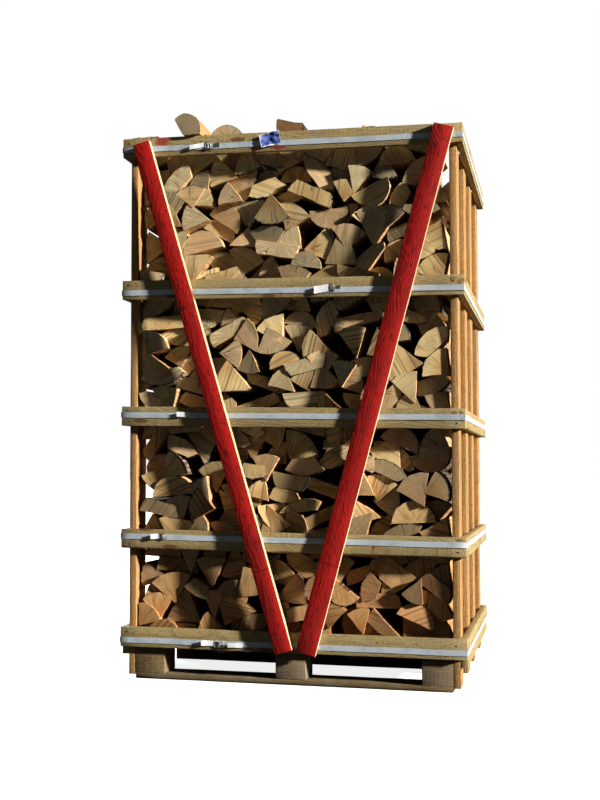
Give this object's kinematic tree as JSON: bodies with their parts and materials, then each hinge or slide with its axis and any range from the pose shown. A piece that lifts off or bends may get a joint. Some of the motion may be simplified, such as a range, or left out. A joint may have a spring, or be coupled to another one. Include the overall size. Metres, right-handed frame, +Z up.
{
  "type": "pallet crate of split firewood",
  "caption": "Slatted wooden crate on a block pallet, strapped and braced, filled with stacked split oak firewood.",
  "frame": {"origin": "on the ground, under the middle of the whole crate", "axes": "+Z up, -Y towards the front with the two painted braces, +X to the right seen from the front"},
  "size_m": [1.1754, 1.0994, 1.895],
  "materials": {
    "bare_pine": "rough sawn",
    "pallet_pine": "rough sawn, weathered",
    "red_paint": "painted red on sawn wood",
    "strap_plastic": "smooth",
    "blue_plastic": "smooth",
    "buckle_steel": "bright drawn wire",
    "nail_iron": "dull",
    "split_oak": "split and sawn, dry",
    "oak_bark": "rough bark"
  },
  "bodies": {
    "root": {"skid_front": "pallet_pine", "skid_middle": "pallet_pine", "skid_back": "pallet_pine", "block_front_left": "pallet_pine", "block_front_middle": "pallet_pine", "block_front_right": "pallet_pine", "block_middle_left": "pallet_pine", "block_middle_middle": "pallet_pine", "block_middle_right": "pallet_pine", "block_back_left": "pallet_pine", "block_back_middle": "pallet_pine", "block_back_right": "pallet_pine", "stringer_left": "pallet_pine", "stringer_middle": "pallet_pine", "stringer_right": "pallet_pine", "deck_board_1": "pallet_pine", "deck_board_2": "pallet_pine", "deck_board_3": "pallet_pine", "deck_board_4": "pallet_pine", "slat_left_1": "bare_pine", "slat_left_2": "bare_pine", "slat_left_3": "bare_pine", "slat_left_4": "bare_pine", "slat_right_1": "bare_pine", "slat_right_2": "bare_pine", "slat_right_3": "bare_pine", "slat_right_4": "bare_pine", "rail_front_1": "bare_pine", "rail_front_2": "bare_pine", "rail_front_3": "bare_pine", "rail_front_4": "bare_pine", "rail_front_5": "bare_pine", "rail_back_1": "bare_pine", "rail_back_2": "bare_pine", "rail_back_3": "bare_pine", "rail_back_4": "bare_pine", "rail_back_5": "bare_pine", "rail_left_1": "bare_pine", "rail_left_2": "bare_pine", "rail_left_3": "bare_pine", "rail_left_4": "bare_pine", "rail_left_5": "bare_pine", "rail_right_1": "bare_pine", "rail_right_2": "bare_pine", "rail_right_3": "bare_pine", "rail_right_4": "bare_pine", "rail_right_5": "bare_pine", "strap_1": "strap_plastic", "strap_2": "strap_plastic", "strap_3": "strap_plastic", "strap_4": "strap_plastic", "strap_5": "strap_plastic", "brace_left": "red_paint", "brace_right": "red_paint", "firewood_front": "split_oak", "firewood_middle": "split_oak", "firewood_back": "split_oak", "loose_log_left": "split_oak", "loose_log_middle": "split_oak", "loose_log_right": "oak_bark"}
  },
  "joints": []
}
